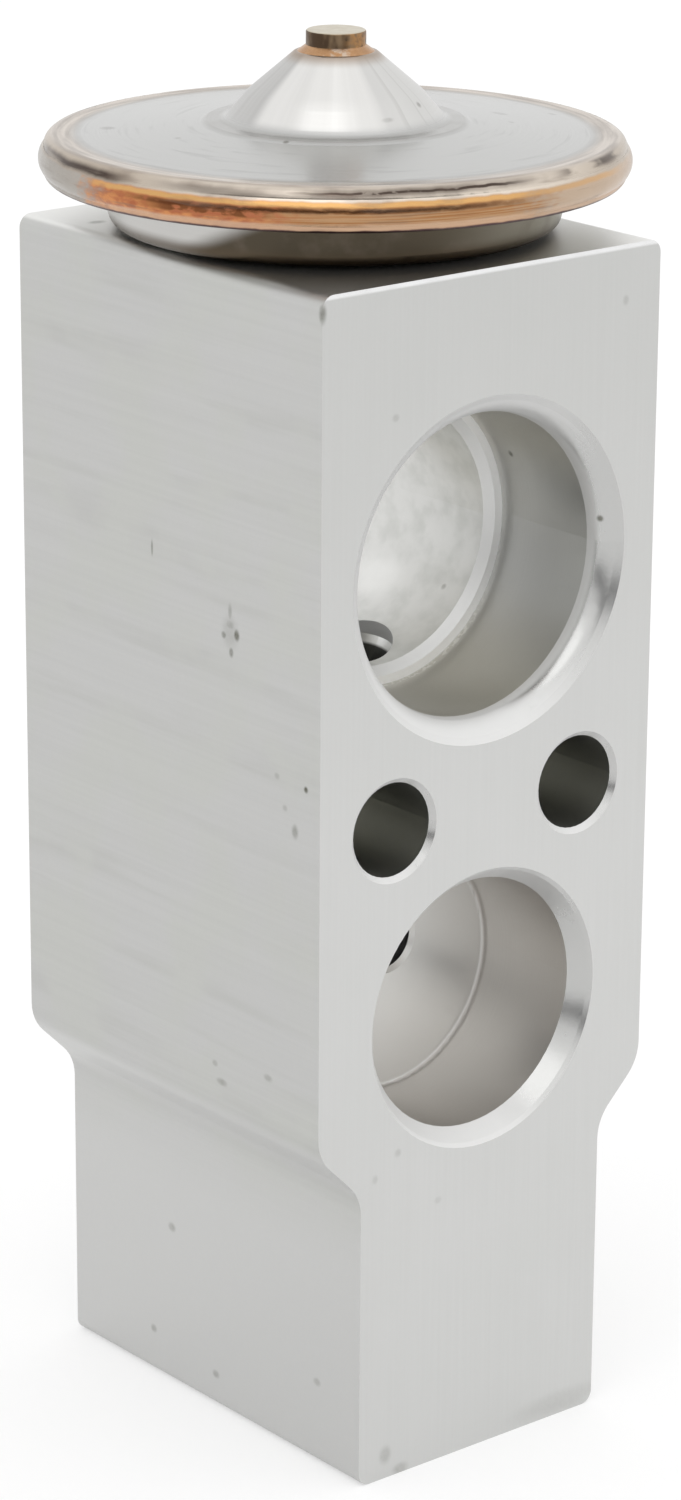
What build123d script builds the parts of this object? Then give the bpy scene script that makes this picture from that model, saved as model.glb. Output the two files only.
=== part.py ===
from build123d import *
import os
from math import sqrt

# Block-type expansion valve: aluminium block with a welded sheet head that works a ball valve.
# Millimetres, +Z up, origin at the centre of the block's bottom face, connection face towards -Y.
# A section is a list of (across, up, corner round) points.

# Block
block_width = 28.0
block_depth = 31.75
block_height = 81.0
foot_width = 20.8
shoulder_height = 20.9
shoulder_round = 3.2
corner_round = 0.9
edge_break = 0.4
overshoot = 1.0

# Suction passage, bored from both connection faces
suction_height = 61.3
suction_bore_radius = 10.0
suction_bore_depth = 10.35
suction_back_depth = 7.6
suction_floor_width = 0.55
suction_floor_fall = 0.1
suction_chamfer = 0.65
suction_chamfer_depth = 0.45
flare_depth = 2.0
flare_round = 1.86
flare_turn = 62.5
suction_lip = 0.45

# Liquid ports, one in each connection face
liquid_height = 31.55
liquid_bore_radius = 8.55
liquid_bore_depth = 9.9
liquid_mouth = 0.8
liquid_mouth_depth = 1.4
liquid_lip = 0.25
liquid_lip_depth = 0.25
liquid_floor_round = 0.3

# Small holes in the port floors, above and below the ports' axis
outlet_rise = 1.95
outlet_radius = 2.15
inlet_radius = 2.2
drill_chamfer = 0.3
drill_margin = 0.15

# Clamp bolt holes
bolt_spacing = 15.7
bolt_height = 45.5
bolt_hole_radius = 3.15
bolt_chamfer = 0.35

# Running and pressed fits
running_gap = 0.05
press_gap = 0.02

# Bore for the adjusting screw and the ball chamber, from the bottom
chamber_radius = 4.9
thread_depth = 0.6
screw_bore_depth = 7.8
screw_bore_chamfer = 0.6

# Valve seat ring, pressed in from below, and the throat above it
seat_wall = 1.2
seat_height = 2.5
orifice_radius = 1.3
seat_cone = 0.7
throat_radius = 2.2

# Pin, rod and the rod's bore
pin_radius = 0.9
pin_socket_depth = 3.0
rod_radius = 1.5
rod_engagement = 3.2
rod_over_travel = 1.4
rod_socket_cover = 3.3

# Rod seal and its retainer in the pocket under the suction passage
pocket_depth = 4.8
pocket_chamfer = 0.7
pocket_chamfer_depth = 1.6
rod_seal_cord = 0.87
rod_seal_gap = 0.04
retainer_thickness = 0.4
retainer_gap = 0.06
retainer_hole_gap = 0.25
retainer_tooth_gap = 1.0
retainer_teeth = 6

# Ball and its holder
ball_radius = 2.0
closed_gap = 0.05
hub_radius = 2.6
hub_height = 1.3
hub_rise = 0.45
holder_flange_gap = 0.85
holder_flange_thickness = 1.0
shank_radius = 2.2
shank_length = 3.6
recess_floor_radius = 0.4

# Damping spring: a ring with bent legs that rub on the chamber wall
damper_sheet = 0.25
damper_leg_width = 2.4
damper_leg_length = 5.4
damper_legs = 4
damper_first_leg = 45.0
damper_wall_gap = 0.15
damper_bow = 0.3

# Superheat spring
spring_wire_radius = 0.5
spring_inside_gap = 0.3
spring_turns = 6.5

# Adjusting screw with its sealing ring
screw_bottom = 1.5
screw_thread_length = 4.8
screw_length = 10.7
screw_edge = 0.4
spring_cup_gap = 0.25
spring_cup_depth = 1.0
screw_seal_cord = 0.65
seal_groove_width = 1.8
seal_groove_centre = 8.1
socket_across_flats = 4.0
socket_depth = 3.5

# Head bore in the top of the block
neck_radius = 8.0
neck_length = 7.7
head_bore_clearance = 0.3
head_bore_round = 0.4
rod_hole_gap = 1.5
head_seal_cord = 0.9
head_seal_recess_gap = 0.3
head_seal_recess_depth = 1.5

# Lower cap of the head
head_gap = 0.3
cap_sheet = 1.15
dish_bottom_radius = 14.5
dish_bottom_round = 0.9
dish_spread = 0.7
dish_depth = 3.0
dish_top_round = 0.8
dish_wall = 1.2
chamber_round = 0.35
flange_width = 3.6
flange_edge_round = 0.5

# Diaphragm
diaphragm_sheet = 0.15
corrugation_margin = 0.8
corrugation_width = 3.2
corrugation_rise = 0.25
corrugation_slope = 0.7

# Upper cap of the head: rises are above its flange, insets from its flange's edge
cap_edge_rise = 1.6
cap_edge_round = 0.8
crown_inset = 2.1
crown_rise = 1.52
crown_round = 1.5
crown_inside_round = 0.3
pad_radius = 8.75
pad_rise = 2.25
pad_step = 0.15
pad_slope = 0.4
pad_round = 0.2
cone_foot_radius = 7.15
cone_foot_rise = 2.48
cone_foot_round = 1.0
cone_knee_radius = 5.7
cone_knee_rise = 4.2
cone_knee_round = 5.0
cone_top_radius = 2.65
cone_top_rise = 6.8
cone_top_round = 0.4
cone_inside_narrowing = 0.5
plug_hole_radius = 1.2

# Weld bead round the rim, closing plug and its weld
bead_bulge = 0.34
bead_overlap = 0.05
plug_radius = 1.94
plug_height = 1.35
plug_edge = 0.15
plug_shank_length = 1.6
plug_weld_width = 0.55
plug_weld_rise = 0.4

# Stop plate under the diaphragm
stop_plate_gap = 1.8
stop_boss_wall = 2.0
stop_boss_length = 5.6
stop_plate_round = 0.3
valve_lift = 0.8
stop_gap = 0.05

# Block heights and radii that follow from the sizes above
half_depth = block_depth / 2
passage_radius = suction_bore_radius - suction_floor_width - suction_chamfer
passage_floor = suction_height - passage_radius
pocket_floor = passage_floor - pocket_depth
pocket_radius = rod_radius + rod_seal_gap + 2 * rod_seal_cord + rod_seal_gap
retainer_height = pocket_floor + 2 * rod_seal_cord + retainer_gap
outlet_height = liquid_height + outlet_rise
throat_top = outlet_height + outlet_radius + drill_margin
seat_top = outlet_height - outlet_radius - drill_margin
chamber_top = seat_top - seat_height
inlet_height = chamber_top - drill_margin - inlet_radius
screw_bore_radius = chamber_radius + thread_depth

# Valve train, from the seat down to the screw
cone_contact = ball_radius / sqrt(2)
seat_cone_radius = orifice_radius + seat_cone
seat_outer_radius = seat_cone_radius + seat_wall
seat_contact_height = chamber_top + seat_cone_radius - cone_contact
ball_height = seat_contact_height - cone_contact - closed_gap * sqrt(2)
hub_top = ball_height - cone_contact + hub_rise
holder_flange_top = hub_top - hub_height
holder_flange_radius = chamber_radius - holder_flange_gap
spring_top = holder_flange_top - holder_flange_thickness
spring_radius = shank_radius + spring_inside_gap + spring_wire_radius
screw_top = screw_bottom + screw_length
spring_bottom = screw_top - spring_cup_depth
screw_seal_radius = chamber_radius - running_gap - screw_seal_cord

# Head, from the block's top face up
dish_bottom = block_height + head_gap
dish_top_radius = dish_bottom_radius + dish_spread
chamber_floor = dish_bottom + cap_sheet
chamber_floor_radius = dish_bottom_radius - dish_wall
chamber_mouth_radius = dish_top_radius - dish_wall
flange_radius = dish_top_radius + flange_width
flange_height = dish_bottom + dish_depth
diaphragm_height = flange_height + cap_sheet
upper_cap_height = diaphragm_height + diaphragm_sheet
cone_top = upper_cap_height + cone_top_rise
head_bore_radius = neck_radius + running_gap
head_seal_radius = head_bore_radius + head_seal_cord

# Stop plate, rod and pin
stop_plate_top = diaphragm_height - stop_gap
stop_plate_radius = chamber_floor_radius - stop_plate_gap
stop_boss_radius = rod_radius + stop_boss_wall
rod_top = stop_plate_top - rod_socket_cover
rod_bottom = pocket_floor - rod_engagement
rod_bore_bottom = rod_bottom - rod_over_travel


def section(points):
    """Flat section in the XZ plane from (across, up, round) points."""
    outline = FilletPolyline(*[(x, z) for x, z, _ in points], radius=[r for *_, r in points], close=True)
    return Plane.XZ * make_face(outline)


def sharp(*points):
    """Section points with no rounding."""
    return [(x, z, 0) for x, z in points]


def turned(points):
    """Solid turned about the Z axis from half a section."""
    return revolve(section(points), axis=Axis.Z)


def disc(radius, bottom, top):
    """Plain cylinder about the Z axis between two heights."""
    return Pos(0, 0, bottom) * Cylinder(radius, top - bottom, align=(Align.CENTER, Align.CENTER, Align.MIN))


def into_face(cutter, side, height, across=0):
    """Places a cutter turned about Z so that it enters a connection face, side -1 front or +1 back."""
    return Pos(across, side * half_depth, height) * Rot(90 * side, 0, 0) * cutter


def suction_cutter(depth):
    """One half of the suction passage: lip, flared mouth, sealing bore, floor, chamfer and passage."""
    mouth = JernArc((suction_bore_radius, flare_depth), (0, -1), flare_round, flare_turn)
    end = mouth @ 1
    middle = half_depth + overshoot
    floor_end = depth + suction_floor_fall
    lip = end.X + suction_lip
    outside = Polyline(
        (end.X, end.Y),
        (lip, 0),
        (lip, -overshoot),
        (0, -overshoot),
        (0, middle),
        (passage_radius, middle),
        (passage_radius, floor_end + suction_chamfer_depth),
        (passage_radius + suction_chamfer, floor_end),
        (suction_bore_radius, depth),
        (suction_bore_radius, flare_depth),
    )
    return revolve(Plane.XZ * make_face(mouth + outside), axis=Axis.Z)


def liquid_cutter():
    """Blind port bore with a conical mouth and a broken edge."""
    mouth = liquid_bore_radius + liquid_mouth
    lip = mouth + liquid_lip
    return turned(
        [
            (0, -overshoot, 0),
            (lip, -overshoot, 0),
            (lip, 0, 0),
            (mouth, liquid_lip_depth, 0),
            (liquid_bore_radius, liquid_mouth_depth, 0),
            (liquid_bore_radius, liquid_bore_depth, liquid_floor_round),
            (0, liquid_bore_depth, 0),
        ]
    )


def floor_hole_cutter(radius):
    """Drilled hole from a port floor to the valve axis, with a chamfered mouth."""
    mouth = liquid_bore_depth
    return turned(
        sharp(
            (0, mouth - overshoot),
            (radius + drill_chamfer, mouth - overshoot),
            (radius + drill_chamfer, mouth),
            (radius, mouth + drill_chamfer),
            (radius, half_depth),
            (0, half_depth),
        )
    )


def bolt_cutter():
    """Half of a through hole, with a chamfered mouth."""
    mouth = bolt_hole_radius + bolt_chamfer
    return turned(
        sharp(
            (0, -overshoot),
            (mouth, -overshoot),
            (mouth, 0),
            (bolt_hole_radius, bolt_chamfer),
            (bolt_hole_radius, half_depth + overshoot),
            (0, half_depth + overshoot),
        )
    )


def bottom_cutter():
    """Screw bore, ball chamber, seat bore, throat, guide hole and rod bore, up to the seal."""
    mouth = screw_bore_radius + screw_bore_chamfer
    guide = pin_radius + running_gap
    return turned(
        sharp(
            (0, -overshoot),
            (mouth, -overshoot),
            (mouth, 0),
            (screw_bore_radius, screw_bore_chamfer),
            (screw_bore_radius, screw_bore_depth),
            (chamber_radius, screw_bore_depth + screw_bore_radius - chamber_radius),
            (chamber_radius, chamber_top),
            (seat_outer_radius + press_gap, chamber_top),
            (seat_outer_radius + press_gap, seat_top),
            (throat_radius, seat_top),
            (throat_radius, throat_top),
            (guide, throat_top + throat_radius - guide),
            (guide, rod_bore_bottom),
            (rod_radius + running_gap, rod_bore_bottom),
            (rod_radius + running_gap, pocket_floor),
            (pocket_radius, pocket_floor),
            (pocket_radius, passage_floor - pocket_chamfer_depth),
            (pocket_radius + pocket_chamfer, passage_floor),
            (pocket_radius + pocket_chamfer, suction_height),
            (0, suction_height),
        )
    )


def top_cutter():
    """Head bore with the recess for its sealing ring, and the rod hole into the passage."""
    floor = dish_bottom - neck_length - head_bore_clearance
    rod_hole = rod_radius + rod_hole_gap
    recess = block_height - head_seal_recess_depth
    recess_radius = head_seal_radius + head_seal_cord + head_seal_recess_gap
    return turned(
        [
            (0, suction_height, 0),
            (rod_hole, suction_height, 0),
            (rod_hole, floor, 0),
            (head_bore_radius, floor, head_bore_round),
            (head_bore_radius, recess, 0),
            (recess_radius, recess, 0),
            (recess_radius, block_height + overshoot, 0),
            (0, block_height + overshoot, 0),
        ]
    )


def valve_body():
    """Extruded block with shoulders down to a narrow foot, cut to length and bored."""
    half, foot = block_width / 2, foot_width / 2
    slope_top = shoulder_height + half - foot
    right = [
        (foot, 0, corner_round),
        (foot, shoulder_height, shoulder_round),
        (half, slope_top, shoulder_round),
        (half, block_height, corner_round),
    ]
    left = [(-x, z, r) for x, z, r in reversed(right)]
    block = extrude(section(right + left), amount=half_depth, both=True)
    for face in (block.faces().sort_by(Axis.Y)[0], block.faces().sort_by(Axis.Y)[-1]):
        block = chamfer(face.outer_wire().edges(), edge_break)
    for side, suction_depth in ((-1, suction_bore_depth), (1, suction_back_depth)):
        block -= into_face(suction_cutter(suction_depth), side, suction_height)
        block -= into_face(liquid_cutter(), side, liquid_height)
        for across in (-bolt_spacing / 2, bolt_spacing / 2):
            block -= into_face(bolt_cutter(), side, bolt_height, across)
    block -= into_face(floor_hole_cutter(outlet_radius), -1, outlet_height)
    block -= into_face(floor_hole_cutter(inlet_radius), 1, inlet_height)
    return block - bottom_cutter() - top_cutter()


def valve_seat():
    """Ring with the orifice and a conical seat for the ball at its lower end."""
    return turned(
        sharp(
            (seat_cone_radius, chamber_top),
            (seat_outer_radius, chamber_top),
            (seat_outer_radius, seat_top),
            (orifice_radius, seat_top),
            (orifice_radius, chamber_top + seat_cone),
        )
    )


def valve_ball():
    """Ball, a hair below its seat in the closed valve."""
    return Pos(0, 0, ball_height) * Sphere(ball_radius)


def ball_holder():
    """Turned holder: conical recess for the ball, flange for the springs, shank inside the coil."""
    recess_rim = hub_rise + cone_contact
    recess_floor = hub_top - (recess_rim - recess_floor_radius)
    return turned(
        sharp(
            (0, spring_top - shank_length),
            (shank_radius, spring_top - shank_length),
            (shank_radius, spring_top),
            (holder_flange_radius, spring_top),
            (holder_flange_radius, holder_flange_top),
            (hub_radius, holder_flange_top),
            (hub_radius, hub_top),
            (recess_rim + press_gap, hub_top),
            (recess_floor_radius + press_gap, recess_floor),
            (0, recess_floor),
        )
    )


def damping_spring():
    """Sheet ring round the holder's hub with bowed legs down the chamber wall."""
    outer = chamber_radius - damper_wall_gap
    inner = outer - damper_sheet
    top = holder_flange_top + damper_sheet
    bottom = top - damper_leg_length
    middle = (top + bottom) / 2
    ring = disc(outer - damper_bow, holder_flange_top, top) - disc(hub_radius + running_gap, holder_flange_top, top)
    strip = turned(
        sharp(
            (inner - damper_bow, top),
            (outer - damper_bow, top),
            (outer, middle),
            (outer - damper_bow, bottom),
            (inner - damper_bow, bottom),
            (inner, middle),
        )
    )
    reach = Box(chamber_radius, damper_leg_width, 2 * damper_leg_length, align=(Align.MIN, Align.CENTER, Align.CENTER))
    spring = ring
    for leg in range(damper_legs):
        turn = damper_first_leg + 360 * leg / damper_legs
        spring += strip & (Pos(0, 0, middle) * Rot(0, 0, turn) * reach)
    return spring


def superheat_spring():
    """Round-wire compression spring with ground ends, from the screw's cup to the holder's flange."""
    length = spring_top - spring_bottom
    pitch = length / spring_turns
    path = Helix(pitch, length + pitch, spring_radius, center=(0, 0, spring_bottom - pitch / 2))
    wire = sweep(Plane(path @ 0, z_dir=path % 0) * Circle(spring_wire_radius), path=path, is_frenet=True)
    return wire & disc(2 * spring_radius, spring_bottom, spring_top)


def adjusting_screw():
    """Screw with a hex socket below, a groove for its sealing ring and a cup for the spring on top."""
    thread = screw_bore_radius - running_gap
    stem = chamber_radius - running_gap
    shoulder = screw_bottom + screw_thread_length
    groove = screw_bottom + seal_groove_centre
    groove_radius = screw_seal_radius - screw_seal_cord - running_gap
    cup = spring_radius + spring_wire_radius + spring_cup_gap
    screw = turned(
        sharp(
            (0, screw_bottom),
            (thread - screw_edge, screw_bottom),
            (thread, screw_bottom + screw_edge),
            (thread, shoulder),
            (stem, shoulder),
            (stem, groove - seal_groove_width / 2),
            (groove_radius, groove - seal_groove_width / 2),
            (groove_radius, groove + seal_groove_width / 2),
            (stem, groove + seal_groove_width / 2),
            (stem, screw_top - screw_edge),
            (stem - screw_edge, screw_top),
            (cup, screw_top),
            (cup, spring_bottom),
            (0, spring_bottom),
        )
    )
    hexagon = RegularPolygon(socket_across_flats / 2, 6, major_radius=False)
    return screw - Pos(0, 0, screw_bottom) * extrude(hexagon, socket_depth)


def screw_seal():
    """Sealing ring in the adjusting screw's groove."""
    return Pos(0, 0, screw_bottom + seal_groove_centre) * Torus(screw_seal_radius, screw_seal_cord)


def rod_seal():
    """Sealing ring round the rod, on the floor of its pocket."""
    middle = rod_radius + rod_seal_gap + rod_seal_cord
    return Pos(0, 0, pocket_floor + rod_seal_cord) * Torus(middle, rod_seal_cord)


def rod_seal_retainer():
    """Pressed-in sheet ring with teeth that grip the pocket wall."""
    outer = pocket_radius - press_gap
    top = retainer_height + retainer_thickness
    ring = disc(outer, retainer_height, top) - disc(rod_radius + retainer_hole_gap, retainer_height, top)
    notch = Box(2 * retainer_tooth_gap, retainer_tooth_gap, 2 * retainer_thickness)
    for tooth in range(retainer_teeth):
        ring -= Rot(0, 0, 360 * tooth / retainer_teeth) * Pos(outer, 0, top) * notch
    return ring


def push_pin():
    """Thin pin from the rod's socket through the guide and the orifice to the ball."""
    bottom = ball_height + ball_radius + press_gap
    return disc(pin_radius, bottom, rod_bottom + pin_socket_depth)


def sensing_rod():
    """Rod across the suction passage, with a socket for the pin in its lower end."""
    socket = disc(pin_radius + press_gap, rod_bottom, rod_bottom + pin_socket_depth)
    return disc(rod_radius, rod_bottom, rod_top) - socket


def stop_plate():
    """Plate under the diaphragm with a guided boss that takes the top of the rod."""
    under = chamber_floor + valve_lift + stop_gap
    boss_bottom = under - stop_boss_length
    return turned(
        [
            (rod_radius + press_gap, boss_bottom, 0),
            (stop_boss_radius, boss_bottom, 0),
            (stop_boss_radius, under, 0),
            (stop_plate_radius, under, 0),
            (stop_plate_radius, stop_plate_top, stop_plate_round),
            (0, stop_plate_top, 0),
            (0, rod_top, 0),
            (rod_radius + press_gap, rod_top, 0),
        ]
    )


def lower_cap():
    """Dished lower cap in one piece with the neck that screws into the block."""
    neck_bottom = dish_bottom - neck_length
    guide = stop_boss_radius + running_gap
    return turned(
        [
            (guide, neck_bottom, 0),
            (neck_radius, neck_bottom, 0),
            (neck_radius, dish_bottom, 0),
            (dish_bottom_radius, dish_bottom, dish_bottom_round),
            (dish_top_radius, flange_height, dish_top_round),
            (flange_radius, flange_height, flange_edge_round),
            (flange_radius, diaphragm_height, 0),
            (chamber_mouth_radius, diaphragm_height, chamber_round),
            (chamber_floor_radius, chamber_floor, chamber_round),
            (guide, chamber_floor, 0),
        ]
    )


def diaphragm():
    """Thin disc with one ring corrugation, clamped between the caps' flanges."""
    low, high = diaphragm_height, diaphragm_height + corrugation_rise
    outer = chamber_mouth_radius - corrugation_margin
    inner = outer - corrugation_width
    line = [
        (flange_radius, low),
        (outer, low),
        (outer - corrugation_slope, high),
        (inner + corrugation_slope, high),
        (inner, low),
        (0, low),
    ]
    back = [(x, z + diaphragm_sheet) for x, z in reversed(line)]
    return turned(sharp(*(line + back)))


def upper_cap():
    """Upper cap: rolled rim, shallow crown, raised pad and a bell-shaped cone with a hole."""
    base = upper_cap_height
    crown_radius = flange_radius - crown_inset
    outside = [
        (flange_radius, base, 0),
        (flange_radius, base + cap_edge_rise, cap_edge_round),
        (crown_radius, base + crown_rise, crown_round),
        (pad_radius, base + pad_rise, pad_round),
        (pad_radius - pad_slope, base + pad_rise + pad_step, pad_round),
        (cone_foot_radius, base + cone_foot_rise, cone_foot_round),
        (cone_knee_radius, base + cone_knee_rise, cone_knee_round),
        (cone_top_radius, cone_top, cone_top_round),
        (plug_hole_radius, cone_top, 0),
    ]
    inside = [
        (plug_hole_radius, cone_top - cap_sheet, 0),
        (cone_top_radius - cone_inside_narrowing, cone_top - cap_sheet, cone_top_round),
        (cone_foot_radius - cap_sheet, base + cone_foot_rise - cap_sheet, cone_foot_round),
        (crown_radius - cap_sheet, base + crown_rise - cap_sheet, crown_inside_round),
        (crown_radius - cap_sheet, base, 0),
    ]
    return turned(outside + inside)


def rim_weld():
    """Weld bead round the edges of the two caps and the diaphragm."""
    bottom = flange_height + flange_edge_round - bead_overlap
    top = upper_cap_height + cap_edge_rise - cap_edge_round + bead_overlap
    middle = (bottom + top) / 2
    bulge = ThreePointArc((flange_radius, bottom), (flange_radius + bead_bulge, middle), (flange_radius, top))
    return revolve(Plane.XZ * make_face(bulge + Line(bulge @ 1, bulge @ 0)), axis=Axis.Z)


def charge_plug():
    """Flat-headed plug that closes the charging hole."""
    return turned(
        [
            (0, cone_top - plug_shank_length, 0),
            (plug_hole_radius - press_gap, cone_top - plug_shank_length, 0),
            (plug_hole_radius - press_gap, cone_top, 0),
            (plug_radius, cone_top, 0),
            (plug_radius, cone_top + plug_height, plug_edge),
            (0, cone_top + plug_height, 0),
        ]
    )


def plug_weld():
    """Small weld bead round the foot of the plug's head."""
    return turned(
        sharp(
            (plug_radius, cone_top),
            (plug_radius + plug_weld_width, cone_top),
            (plug_radius, cone_top + plug_weld_rise),
        )
    )


def head_seal():
    """Sealing ring in the recess round the neck, under the head."""
    height = block_height - head_seal_recess_depth + head_seal_cord
    return Pos(0, 0, height) * Torus(head_seal_radius, head_seal_cord)


pieces = [
    valve_body,
    valve_seat,
    valve_ball,
    ball_holder,
    damping_spring,
    superheat_spring,
    adjusting_screw,
    screw_seal,
    rod_seal,
    rod_seal_retainer,
    push_pin,
    sensing_rod,
    stop_plate,
    lower_cap,
    head_seal,
    diaphragm,
    upper_cap,
    rim_weld,
    charge_plug,
    plug_weld,
]

os.makedirs("parts", exist_ok=True)
for piece in pieces:
    export_step(piece(), f"parts/{piece.__name__}.step")
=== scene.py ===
from math import cos, degrees, radians, sin
from types import SimpleNamespace

import bmesh
import bpy
from mathutils import Matrix, Vector


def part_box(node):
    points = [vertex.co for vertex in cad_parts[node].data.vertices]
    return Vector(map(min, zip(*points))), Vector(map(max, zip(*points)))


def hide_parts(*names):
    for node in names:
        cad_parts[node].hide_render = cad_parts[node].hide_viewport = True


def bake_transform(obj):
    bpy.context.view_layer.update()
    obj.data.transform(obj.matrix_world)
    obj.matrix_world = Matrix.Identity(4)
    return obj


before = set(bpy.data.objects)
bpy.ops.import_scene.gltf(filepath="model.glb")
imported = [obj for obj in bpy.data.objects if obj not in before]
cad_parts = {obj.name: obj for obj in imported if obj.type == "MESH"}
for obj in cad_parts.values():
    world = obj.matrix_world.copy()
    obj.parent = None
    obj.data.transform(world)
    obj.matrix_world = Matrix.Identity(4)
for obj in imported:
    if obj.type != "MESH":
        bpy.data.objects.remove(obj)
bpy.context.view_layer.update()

# Looks of a block-type expansion valve: bare aluminium block, stainless head with a heat-tinted weld.
# The superheat spring is shown in two halves, because two joints move it.
# Places and sizes are in millimetres in the part's own frame, angles in degrees, colours linear.
mm = 0.001

# Camera, fitted to the block's corners and the port circles of the photograph
view_azimuth = -39.548
view_elevation = 18.084
view_roll = 0.364
view_distance = 315.36
view_target_height = 32.0
view_right = 0.655
view_up = 12.63
view_lens = 111.25
film_size = 36.0

# Studio
floor_radius = 3000.0
floor_grey = 0.55
floor_fill = 0.36
floor_seen_fill = 0.45
sky_level = 1.0
glow_level = 0.18
glow_azimuth = -5.0
glow_elevation = 60.0
glow_fade = (0.5, 0.9)
strip_azimuth = -35.0
strip_level = 0.12
strip_top = 0.19
strip_soft = 0.04
strip_fade = (0.45, 0.85)
key_azimuth = -55.0
key_elevation = 55.0
key_distance = 700.0
key_size = 500.0
key_power = 0.35

# Block; the slopes' tone lies between slope_heights, and the port faces darken over face_shade_heights
block_half_depth = 15.875
block_half_width = 14.0
block_height = 81.0
foot_half_width = 10.4
shoulder_height = 24.5
slope_heights = (19.5, 27.5)
face_shade_heights = (38.0, 78.0)
edge_depth = 2.1
dull_metallic = 0.1
block_relief = 0.003

# Ports, passage and pocket; a reach is a radius that holds a port's widest edge
suction_height = 61.3
suction_reach = 12.2
suction_depth = 10.35
suction_back_depth = 7.6
ring_depth = 0.55
burr_width = 0.45
pocket_radius = 4.1
passage_floor = 52.5
pocket_shade = 51.95
# passage_gleam is a painted highlight on the passage wall: its centre, radii and strength
passage_gleam = ((6.6, 3.3, 55.5), (2.4, 3.2, 2.2), 0.8)
liquid_height = 31.55
liquid_reach = 9.7
liquid_depth = 9.9
bolt_height = 45.5
bolt_across = 7.85
bolt_reach = 3.6

# Head: radii and heights between which a look fades, and spans of azimuth
cone_radii = (7.2, 6.6)
collar_radii = (7.3, 8.5)
crown_radii = (8.4, 8.9)
crease_radius = 16.75
# lit_span is the span of azimuth where the cone's painted light lies
lit_span = (-88.0, -12.0)
scorch_heights = (91.3, 92.0)
dish_middle = 82.5
dish_span = (-72.0, 55.0)
dish_edge_shade_heights = (82.6, 81.7)

# Heat tint of the rim, with a painted dark reflection line and a painted highlight on the crest: its bands'
# heights, and their spans of azimuth
tint_radii = (18.2, 18.5)
bottom_heights = (84.58, 84.44)
lower_heights = (85.05, 84.80)
core_heights = (85.25, 85.85)
reflection_line_heights = (85.62, 85.94)
gold_heights = (85.98, 86.28)
crest_heights = (86.22, 86.40)
seen_span = (-150.0, 100.0)
hot_span = (-92.0, -50.0)
warm_span = (-90.0, 2.0)
right_span = (0.0, 105.0)
gold_span = (0.0, 28.0)
reflection_line_span = (-80.0, -4.0)
core_span = (-76.0, -52.0)
crest_highlight_span = (-76.0, 18.0)

# Painted dark reflection along the groove between the bead and the upper cap: it swings up and down round
# the rim and shows over these spans
groove_height = 86.78
groove_swing = 0.18
groove_turn = 40.0
groove_radii = (17.8, 18.2)
groove_left = (-122.0, -84.0)
groove_near = (-73.0, -47.0)
groove_front = (-47.0, 0.0)
groove_right = (10.0, 34.0)

# Colours of the block's faces
drawn_grey = (0.605, 0.605, 0.595)
streak_grey = (0.565, 0.566, 0.550)
cloud_grey = (0.600, 0.605, 0.580)
line_grey = (0.40, 0.40, 0.39)
# Painted light: the sides turn lighter towards the foot
foot_grey = (0.63, 0.63, 0.62)
slope_grey = (0.69, 0.69, 0.68)
sawn_grey = (0.83, 0.83, 0.81)
milled_grey = (0.715, 0.715, 0.707)
milled_cloud_grey = (0.683, 0.686, 0.672)
face_shade_grey = (0.50, 0.505, 0.485)
brushed_grey = (0.45, 0.45, 0.43)
edge_grey = (0.56, 0.56, 0.55)
# Painted highlight along the port faces' top edges
worn_grey = (0.92, 0.92, 0.92)
dull_grey = (0.86, 0.86, 0.85)
dirt_grey = (0.13, 0.13, 0.10)

# Colours of the ports, the passage and the pocket
suction_grey = (0.625, 0.628, 0.615)
suction_deep_grey = (0.60, 0.58, 0.52)
suction_line_grey = (0.42, 0.41, 0.37)
ring_cone_grey = (0.64, 0.64, 0.63)
# Painted light: the ring's flat is lighter than its cone
ring_flat_grey = (0.92, 0.92, 0.91)
passage_grey = (0.77, 0.77, 0.75)
passage_blotch_grey = (0.67, 0.675, 0.65)
passage_gleam_grey = (0.90, 0.90, 0.88)
burr_grey = (0.85, 0.84, 0.80)
# Painted light on the pocket's upper wall, and the painted shade deep in it
mouth_lit_grey = (0.92, 0.92, 0.90)
pocket_shade_black = (0.05, 0.05, 0.045)
liquid_grey = (0.70, 0.68, 0.65)
liquid_line_grey = (0.64, 0.61, 0.585)
liquid_floor_grey = (0.77, 0.77, 0.75)
bolt_hole_grey = (0.63, 0.63, 0.59)

# Colours of the cap, its cone, the dish, the weld and the plug
crown_grey = (0.53, 0.53, 0.52)
crown_ring_grey = (0.49, 0.49, 0.48)
crown_smear_grey = (0.36, 0.36, 0.35)
straw_dark = (0.36, 0.31, 0.265)
straw_light = (0.63, 0.56, 0.49)
# Painted shade in the crease and round the cone's foot
crease_shade_brown = (0.22, 0.205, 0.185)
# Painted light and shade of the cone's sides
cone_shade_dark = (0.50, 0.495, 0.485)
cone_shade_grey = (0.60, 0.595, 0.585)
cone_right_grey = (0.66, 0.655, 0.64)
cone_lit_dark = (0.68, 0.672, 0.655)
cone_lit_grey = (0.78, 0.772, 0.755)
cone_streak_grey = (0.30, 0.29, 0.27)
scorch_brown = (0.33, 0.24, 0.17)
cap_dirt_brown = (0.16, 0.15, 0.13)
dish_grey = (0.61, 0.60, 0.58)
dish_ring_grey = (0.55, 0.54, 0.52)
# Painted shade and dark reflection on the dish's front
dish_shade_left = (0.085, 0.070, 0.050)
dish_shade_right = (0.31, 0.29, 0.235)
dish_shade_cloud_brown = (0.16, 0.13, 0.105)
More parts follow.
